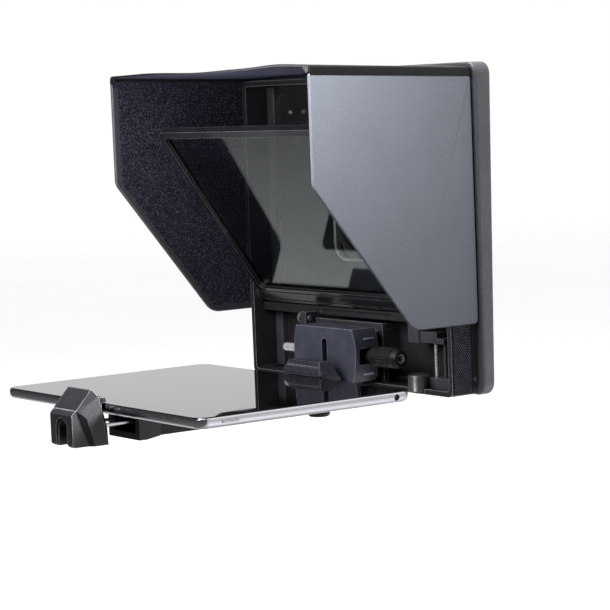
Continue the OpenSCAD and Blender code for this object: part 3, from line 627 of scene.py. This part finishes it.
def board_lining(side, name, body):
    """Flocked lining on the board's inner face, with its nap as fine relief and a pressed edge."""
    ring = inset(board_outline(), LINING_INSET)
    low = min(p.y for p in ring) + 0.02 * MM
    high = max(p.y for p in ring if p.x > BOARD_HIGH.y - 3 * MM) - 0.02 * MM
    rows = round((high - low) / CELL)
    columns = round((BOARD_HIGH.y - BOARD_LOW.y) / CELL)
    seat = BOARD_LOW.x + LINING
    verts, border_verts = [], set()
    for j in range(rows + 1):
        z = low + (high - low) * j / rows
        y0, y1 = edge_at(ring, z)
        for i in range(columns + 1):
            y = y0 + (y1 - y0) * i / columns
            lift = max(0.0, (z - BOARD_NOSE) / (high - BOARD_NOSE)) * (BOARD_HIGH.y - y) * RISE
            rim_highlight = j in (0, rows) or i in (0, columns)
            pressed = y - y0 < BORDER or z - low < BORDER
            if pressed:
                border_verts.add(len(verts))
            nap = 0.10 * MM * noise.noise(Vector((side * 3.1, y, z)) * 1400) - 0.04 * MM
            depth = 0.26 * MM if pressed else 0.14 * MM + nap
            x = seat if rim_highlight else BOARD_LOW.x + depth
            verts.append(Vector((side * x, y, z + lift)))
    width = columns + 1
    faces, kinds = [], []
    for j in range(rows):
        for i in range(columns):
            a = j * width + i
            faces.append((a, a + 1, a + width + 1, a + width))
            kinds.append(1 if a in border_verts else 0)
    border = list(range(width))
    border += [j * width + columns for j in range(1, rows + 1)]
    border += [rows * width + i for i in range(columns - 1, -1, -1)]
    border += [j * width for j in range(rows - 1, 0, -1)]
    faces.append(tuple(reversed(border)))
    kinds.append(0)
    return add_piece(
        name, verts, faces, [MATERIALS["hood_flock"], FLOCK_BORDER], body, kinds, sharp=60
    )


def hump(place, middle, spread):
    return math.exp(-(((place - middle) / spread) ** 2))


def roof_height(x, y):
    """How far the soft roof stands above its plain slope at a point."""
    half = FOLD_X
    across = min(1.0, max(0.0, (x + half) / (2 * half)))
    forward = min(1.0, max(0.0, (BOX_LOW.y - y) / (BOX_LOW.y - ROOF_LOW.y)))
    wave = 0.5 * hump(across, 0.20, 0.12) - 0.7 * hump(across, 0.47, 0.13) + 1.2 * hump(across, 0.86, 0.11)
    crown = 2.0 * hump(y, FRONT - 12 * MM, 22 * MM) * (1 - abs(x / half) ** 4)
    return (wave * forward ** 1.4 + crown) * MM


def hood_roof():
    """The soft roof and its two folds: leathercloth above and round the folds, flock below."""
    arc, across = 18, 90
    length = ROOF_HIGH.y - ROOF_LOW.y
    ends = [(h, d) for d, h in half_round(length, ROOF_EDGE)]
    half_count = len(ends) // 2
    middle = 46
    places = ends[:half_count]
    places += [(ROOF_EDGE + (length - 2 * ROOF_EDGE) * i / middle, 0.0) for i in range(1, middle)]
    places += ends[half_count:]
    rings, kinds = [], []
    for along, shrink in places:
        y = ROOF_LOW.y + along
        r = FOLD_R - shrink
        axis = fold_axis(y)
        ring, kind = [], []
        for i in range(arc + 1):
            a = math.radians(-125 + 215 * i / arc)
            ring.append(Vector((FOLD_X + r * math.cos(a), y, axis + r * math.sin(a))))
            kind.append(0)
        for i in range(1, across):
            x = FOLD_X - 2 * FOLD_X * i / across
            ring.append(Vector((x, y, axis + r + roof_height(x, y))))
            kind.append(0)
        for i in range(arc + 1):
            a = math.radians(90 + 215 * i / arc)
            ring.append(Vector((-FOLD_X + r * math.cos(a), y, axis + r * math.sin(a))))
            kind.append(0)
        inner = FOLD_X - FOLD_R * 0.75
        for i in range(1, across):
            x = -inner + 2 * inner * i / across
            fuzz = 0.05 * MM * noise.noise(Vector((x, y, 0)) * 1300)
            under = 0.75 * MM + 0.6 * shrink + roof_height(x, y) * 0.9 + fuzz
            ring.append(Vector((x, y, axis + under)))
            kind.append(1)
        rings.append(ring)
        kinds = kind
    verts, faces = skin(rings)
    count = len(rings[0])
    flocked = []
    for face in faces[:-2]:
        i = face[0] % count
        flocked.append(1 if kinds[i] and kinds[(i + 1) % count] else 0)
    flocked += [0, 0]
    skins = [MATERIALS["hood_fold"], MATERIALS["hood_flock"]]
    roof = add_piece("hood_roof", verts, faces, skins, "housing", flocked, 50)
    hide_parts("hood_top", "hood_hinge_left", "hood_hinge_right")


OUTER_CLOTH = ((2.12, 1.1), (2.32, 0.2), (2.42, -0.8), (2.46, -1.6), (2.46, -2.3), (2.44, -3.1))
INNER_CLOTH = ((-2.15, 0.75), (-2.0, -0.6), (-1.2, -1.9), (-0.45, -2.7), (-0.25, -3.8), (-0.2, -5.0))
CLOTH = 0.22 * MM  # thickness of the hinge cloths


def hinge_cloth(side, name, route, outward, slot):
    """A strip of cloth over a fold, from the roof to a board, along a route from the fold's axis in mm."""
    spans = 40
    rings = []
    for j in range(spans + 1):
        y = FOLD_LOW.y + 0.5 * MM + (FOLD_HIGH.y - FOLD_LOW.y - 1.0 * MM) * j / spans
        near, far = [], []
        for across, rise in route:
            x = FOLD_X + across * MM
            z = fold_axis(y) + rise * MM
            near.append(Vector((side * x, y, z)))
            far.append(Vector((side * (x + outward * CLOTH), y, z)))
        rings.append(near + far[::-1])
    verts, faces = skin(rings)
    strip = add_piece(name, verts, faces, [MATERIALS[slot]], None, sharp=60)
    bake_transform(strip)


# ---------------------------------------------------------------- hook tape

def hook_tape(name, node, face, flat_axis):
    """A woven strip under rows of staggered hooks. face says which way it points along flat_axis."""
    low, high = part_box(node)
    along = 0 if flat_axis == 2 else 2
    ground = (high[flat_axis] - low[flat_axis]) * 0.45
    base = low[flat_axis] if face > 0 else high[flat_axis]
    verts, faces, kinds = [], [], []

    def put(u, v, h):
        point = [0.0, 0.0, 0.0]
        point[along], point[1], point[flat_axis] = u, v, base + face * h
        verts.append(Vector(point))

    corner = 0.6 * MM
    corners = [(low[along], low.y), (high[along], low.y), (high[along], high.y), (low[along], high.y)]
    outline = round_corners(corners, [corner] * 4, 4)
    for distance, height in ((0.0, 0.0), (0.0, ground * 0.7), (0.25 * MM, ground)):
        for p in inset(outline, distance) if distance else outline:
            put(p.x, p.y, height)
    count = len(outline)
    for j in range(2):
        for i in range(count):
            k = (i + 1) % count
            faces.append((j * count + i, j * count + k, (j + 1) * count + k, (j + 1) * count + i))
    faces.append(tuple(range(count - 1, -1, -1)))
    faces.append(tuple(range(2 * count, 3 * count)))
    kinds += [0] * len(faces)
    pitch_y, pitch_u = 1.55 * MM, 0.95 * MM
    rows = int((high[along] - low[along] - 1.4 * MM) / pitch_u)
    columns = int((high.y - low.y - 1.4 * MM) / pitch_y)
    for j in range(rows):
        for i in range(columns):
            u = low[along] + 1.0 * MM + j * pitch_u
            v = low.y + 0.9 * MM + (i + 0.5 * (j % 2)) * pitch_y
            start = len(verts)
            for radius, height in ((0.22, 0.0), (0.12, 0.30), (0.25, 0.42)):
                for step in range(5):
                    a = 2 * math.pi * step / 5 + 0.3
                    across, beside = radius * MM * math.cos(a), radius * 1.25 * MM * math.sin(a)
                    put(u + across, v + beside, ground + height * MM)
            put(u, v, ground + 0.48 * MM)
            for ring in range(2):
                for step in range(5):
                    a, b = start + ring * 5 + step, start + ring * 5 + (step + 1) % 5
                    faces.append((a, b, b + 5, a + 5))
            for step in range(5):
                faces.append((start + 10 + step, start + 10 + (step + 1) % 5, start + 15))
            faces.append(tuple(start + 4 - step for step in range(5)))
            kinds += [1] * 16
    weaves = [TAPE_GROUND, MATERIALS["hook_tape"]]
    tape = add_piece(name, verts, faces, weaves, "housing", kinds, 60)
    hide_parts(node)


# ---------------------------------------------------------------- tablet

TABLET_CORNER = 7 * MM
JACK_RADIUS = 1.75 * MM
SHELL_PROFILE = (  # inset and height of the case's side, from its back to the bright edge
    (3.6, 0.0), (2.3, 0.12), (1.4, 0.5), (0.7, 1.15), (0.25, 1.95), (0.05, 2.7), (0.0, 3.4), (0.0, 4.9),
    (0.06, 5.1),
)
GLASS_PROFILE = ((0.62, 5.0), (0.55, 5.75), (0.68, 5.95), (0.95, 6.07), (1.5, 6.1))


def tablet_outline():
    low, high = TABLET_LOW, TABLET_HIGH
    corners = [(low.x, low.y), (high.x, low.y), (high.x, high.y), (low.x, high.y)]
    return round_corners(corners, [TABLET_CORNER] * 4, 14)


def cut(piece, low, high, radius=None):
    """Cuts a box, or a bore along X of a radius from low to high, out of a piece."""
    work = bmesh.new()
    if radius:
        depth = (high - low).length
        bmesh.ops.create_cone(work, cap_ends=True, segments=40, radius1=radius, radius2=radius, depth=depth)
        turn = Matrix.Rotation(math.pi / 2, 4, "Y")
        bmesh.ops.transform(work, matrix=Matrix.Translation((low + high) / 2) @ turn, verts=work.verts)
    else:
        bmesh.ops.create_cube(work, size=1)
        size = Matrix.Diagonal((*(high - low), 1))
        bmesh.ops.transform(work, matrix=Matrix.Translation((low + high) / 2) @ size, verts=work.verts)
    mesh = bpy.data.meshes.new("cutter")
    work.to_mesh(mesh)
    work.free()
    tool = bpy.data.objects.new("cutter", mesh)
    SCENE.collection.objects.link(tool)
    modifier = piece.modifiers.new("cut", "BOOLEAN")
    modifier.object = tool
    modifier.operation = "DIFFERENCE"
    modifier.solver = "EXACT"
    bpy.context.view_layer.update()
    result = bpy.data.meshes.new_from_object(piece.evaluated_get(bpy.context.evaluated_depsgraph_get()))
    piece.modifiers.clear()
    piece.data = result
    bpy.data.objects.remove(tool)


def tablet():
    """The tablet: a blasted case with a rolled back edge, a bright chamfer and a glass front."""
    outline = tablet_outline()
    base = TABLET_LOW.z
    rings = [[Vector((p.x, p.y, base + h * MM)) for p in inset(outline, d * MM)] for d, h in SHELL_PROFILE]
    rings += [[Vector((p.x, p.y, base + h * MM)) for p in inset(outline, d * MM)]
              for d, h in ((0.5, 5.55), (0.62, 5.4), (0.62, 5.0))]
    verts, faces = skin(rings)
    count = len(outline)
    bright = len(SHELL_PROFILE) - 1
    kinds = [1 if index // count == bright else 0 for index in range(len(faces) - 2)] + [0, 0]
    metals = [MATERIALS["tablet_metal"], CHAMFER]
    shell = add_piece("tablet_shell", verts, faces, metals, "tablet", kinds, 30)
    jack = Vector((TABLET_HIGH.x, TABLET_HIGH.y - 11 * MM, TABLET_LOW.z + 3 * MM))
    cut(shell, jack - Vector((8 * MM, 0, 0)), jack + Vector((2 * MM, 0, 0)), JACK_RADIUS)
    for button in ("volume_up_button", "volume_down_button", "power_button"):
        low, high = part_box(button)
        long_axis = 1 if high.y - low.y > high.x - low.x else 0
        room = Vector((0.5, 0.5, 0.1)) * MM  # the travel of a press, and a gap along the button
        room[long_axis] = 0.1 * MM
        cut(shell, low - room, high + room)
    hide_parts("tablet_case")
    rings = [[Vector((p.x, p.y, base + h * MM)) for p in inset(outline, d * MM)] for d, h in GLASS_PROFILE]
    verts, faces = skin(rings)
    glass = [MATERIALS["tablet_glass"]]
    screen = add_piece("tablet_front_glass", verts, faces, glass, "tablet")
    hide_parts("tablet_screen")


# ---------------------------------------------------------------- lens ring thread

def ring_thread():
    """Male thread round the rear of the lens ring: a fine helical ridge on its barrel."""
    pitch, turns, steps = 0.75 * MM, 3, 96
    core, crest, half_width = 33.42 * MM, 33.66 * MM, 0.30 * MM
    rings = []
    for i in range(turns * steps + 1):
        a = 2 * math.pi * i / steps
        y = -2.6 * MM + pitch * i / steps
        fade = min(1.0, i / 12, (turns * steps - i) / 12)
        ring = []
        for radius, offset in ((core, -half_width), (core + (crest - core) * fade, -0.06 * MM),
                               (core + (crest - core) * fade, 0.06 * MM), (core, half_width)):
            ring.append(Vector((radius * math.cos(a), y + offset, radius * math.sin(a))))
        rings.append(ring)
    verts, faces = skin(rings)
    add_piece("lens_ring_thread", verts, faces, [MATERIALS["black_anodised"]], "housing")


# ---------------------------------------------------------------- stage

def soft_light(name, place, target, size, power, tall=None, lit=()):
    """A soft panel of light. lit names the only nodes and pieces it reaches; empty means all."""
    data = bpy.data.lights.new(name, "AREA")
    data.energy = power
    data.shape = "RECTANGLE"
    data.size = size
    data.size_y = tall or size
    light = bpy.data.objects.new(name, data)
    SCENE.collection.objects.link(light)
    light.location = place
    light.rotation_mode = "QUATERNION"
    light.rotation_quaternion = (Vector(target) - Vector(place)).to_track_quat("-Z", "Y")
    light.visible_camera = False
    if lit:
        receivers = bpy.data.collections.new(name + "_receivers")
        for node in lit:
            receivers.objects.link(NODES.get(node) or bpy.data.objects[node])
        light.light_linking.receiver_collection = receivers


# axis, where a wall starts and ends along it, and its brightness there
SKY_WALLS = (("Y", -0.15, 0.5, 0.05, 1.0), ("X", -0.2, 0.6, 1.0, 0.9))


def sky():
    """White walls behind and beside the object and a dim one in front; the camera sees pale all round."""
    world = bpy.data.worlds.new("studio")
    SCENE.world = world
    world.use_nodes = True
    tree = world.node_tree
    tree.nodes.clear()
    place = tree.nodes.new("ShaderNodeTexCoord")
    split = tree.nodes.new("ShaderNodeSeparateXYZ")
    tree.links.new(place.outputs["Generated"], split.inputs[0])
    walls = tree.nodes.new("ShaderNodeMath")
    walls.operation = "MULTIPLY"
    for socket, (axis, start, end, low, high) in enumerate(SKY_WALLS):
        wall = tree.nodes.new("ShaderNodeMapRange")
        wall.interpolation_type = "SMOOTHSTEP"
        wall.inputs["From Min"].default_value = start
        wall.inputs["From Max"].default_value = end
        wall.inputs["To Min"].default_value = low
        wall.inputs["To Max"].default_value = high
        tree.links.new(split.outputs[axis], wall.inputs["Value"])
        tree.links.new(wall.outputs["Result"], walls.inputs[socket])
    path = tree.nodes.new("ShaderNodeLightPath")
    mix = tree.nodes.new("ShaderNodeMix")
    tree.links.new(path.outputs["Is Camera Ray"], mix.inputs["Factor"])
    tree.links.new(walls.outputs[0], mix.inputs["A"])
    mix.inputs["B"].default_value = 1.0
    background = tree.nodes.new("ShaderNodeBackground")
    background.inputs["Color"].default_value = (1, 1, 1, 1)
    tree.links.new(mix.outputs["Result"], background.inputs["Strength"])
    output = tree.nodes.new("ShaderNodeOutputWorld")
    tree.links.new(background.outputs[0], output.inputs[0])


def floor():
    """A pale floor that fades into the backdrop; in reflections it is dark in front of the object."""
    finish = Finish("pale_floor", Roughness=0.9, Specular_IOR_Level=0.1)
    seen = finish.node("ShaderNodeLightPath").outputs["Is Camera Ray"]
    pale = finish.clouded(0.4, 3, grey(0.80), grey(0.84))
    split = finish.node("ShaderNodeSeparateXYZ", finish.place)
    beside = finish.mixed(finish.levels(split.outputs["X"], 0, 1, 0.0, 0.3), grey(0.52), grey(0.9))
    shade = finish.mixed(finish.levels(split.outputs["Y"], 0, 1, -0.30, -0.08), grey(0.06), beside)
    finish.colour(finish.mixed(seen, shade, pale))
    finish.shader.inputs["Emission Color"].default_value = (1, 1, 1, 1)
    finish.tree.links.new(finish.levels(seen, 0.05, 0.55, 0, 1), finish.shader.inputs["Emission Strength"])
    distance = finish.node("ShaderNodeVectorMath", finish.place, operation="LENGTH").outputs["Value"]
    fade = finish.levels(distance, 0, 1, 1.6, 5.0)
    clear = finish.node("ShaderNodeBsdfTransparent").outputs[0]
    mix = finish.node("ShaderNodeMixShader", fade)
    finish.tree.links.new(finish.shader.outputs[0], mix.inputs[1])
    finish.tree.links.new(clear, mix.inputs[2])
    output = next(n for n in finish.tree.nodes if n.type == "OUTPUT_MATERIAL")
    finish.tree.links.new(mix.outputs[0], output.inputs["Surface"])
    mesh = bpy.data.meshes.new("floor")
    work = bmesh.new()
    bmesh.ops.create_circle(work, cap_ends=True, segments=96, radius=FLOOR_RADIUS)
    work.to_mesh(mesh)
    work.free()
    mesh.materials.append(finish.material)
    ground = bpy.data.objects.new("floor", mesh)
    ground.location = (0, 0, -FLOOR_DROP)
    SCENE.collection.objects.link(ground)


CAMERA_TARGET = Vector((18.7, -78.0, -52.6)) * MM
CAMERA_AZIMUTH = math.radians(54.2)
CAMERA_ELEVATION = math.radians(5.2)
CAMERA_ROLL = math.radians(-2.3)
CAMERA_DISTANCE = 1.2878
CAMERA_LENS = 134.56


def camera():
    data = bpy.data.cameras.new("camera")
    data.sensor_width = 36
    data.lens = CAMERA_LENS
    data.clip_start, data.clip_end = 0.05, 30
    made = bpy.data.objects.new("camera", data)
    SCENE.collection.objects.link(made)
    a, e, r = CAMERA_AZIMUTH, CAMERA_ELEVATION, CAMERA_ROLL
    back = Vector((math.sin(a) * math.cos(e), -math.cos(a) * math.cos(e), math.sin(e)))
    right = (-back).cross(Vector((0, 0, 1))).normalized()
    up = right.cross(-back)
    right, up = right * math.cos(r) + up * math.sin(r), up * math.cos(r) - right * math.sin(r)
    place = Matrix((right, up, back)).transposed().to_4x4()
    place.translation = CAMERA_TARGET + back * CAMERA_DISTANCE
    made.matrix_world = place
    SCENE.camera = made


camera()
dress_cad_nodes()
hood_board(1, "hood_board_right", "right_flap", "hood_right")
hood_board(-1, "hood_board_left", "left_flap", "hood_left")
board_lining(1, "hood_lining_right", "right_flap")
board_lining(-1, "hood_lining_left", "left_flap")
hood_roof()
for side, body in ((1, "right_flap"), (-1, "left_flap")):
    hinge_cloth(side, f"outer_hinge_cloth_{body}", OUTER_CLOTH, 1, "hood_fold")
    hinge_cloth(side, f"inner_hinge_cloth_{body}", INNER_CLOTH, -1, "hood_flock")
hook_tape("hook_tape_strip_left", "hook_tape_left", -1, 0)
hook_tape("hook_tape_strip_right", "hook_tape_right", 1, 0)
hook_tape("hook_tape_strip_top", "hook_tape_top", 1, 2)
tablet()
ring_thread()
sky()
floor()
soft_light("key", (0.30, -1.20, 0.75), (0.0, -0.07, -0.02), 0.6, 8)
soft_light("side", (0.215, -0.205, 0.19), (0.1, -0.15, 0.10), 0.09, 3.8, lit=("hood_board_right",))
soft_light("top", (-0.1, -0.25, 1.1), (0.0, -0.10, 0.0), 0.7, 20)
soft_light("fill", (0.0, -0.20, 0.045), (0.0, 0.0, 0.045), 0.14, 0.4)
soft_light("facets", (0.45, 0.13, 0.14), (0.0, -0.19, 0.0), 0.16, 20, lit=("front_jaw", "arm_collar"))
soft_light("rear_facets", (0.45, 0.13, 0.14), (0.0, -0.06, 0.0), 0.16, 5, lit=("rear_jaw",))
soft_light("slope", (0.0, -0.42, 0.4), (0.0, -0.19, 0.0), 0.16, 8, lit=("front_jaw",))
soft_light("strip", (0.13, -0.66, -0.06), (0.064, -0.11, -0.01), 0.10, 9, 0.3, ("foot_knob",))
SCENE.view_settings.view_transform = "Standard"
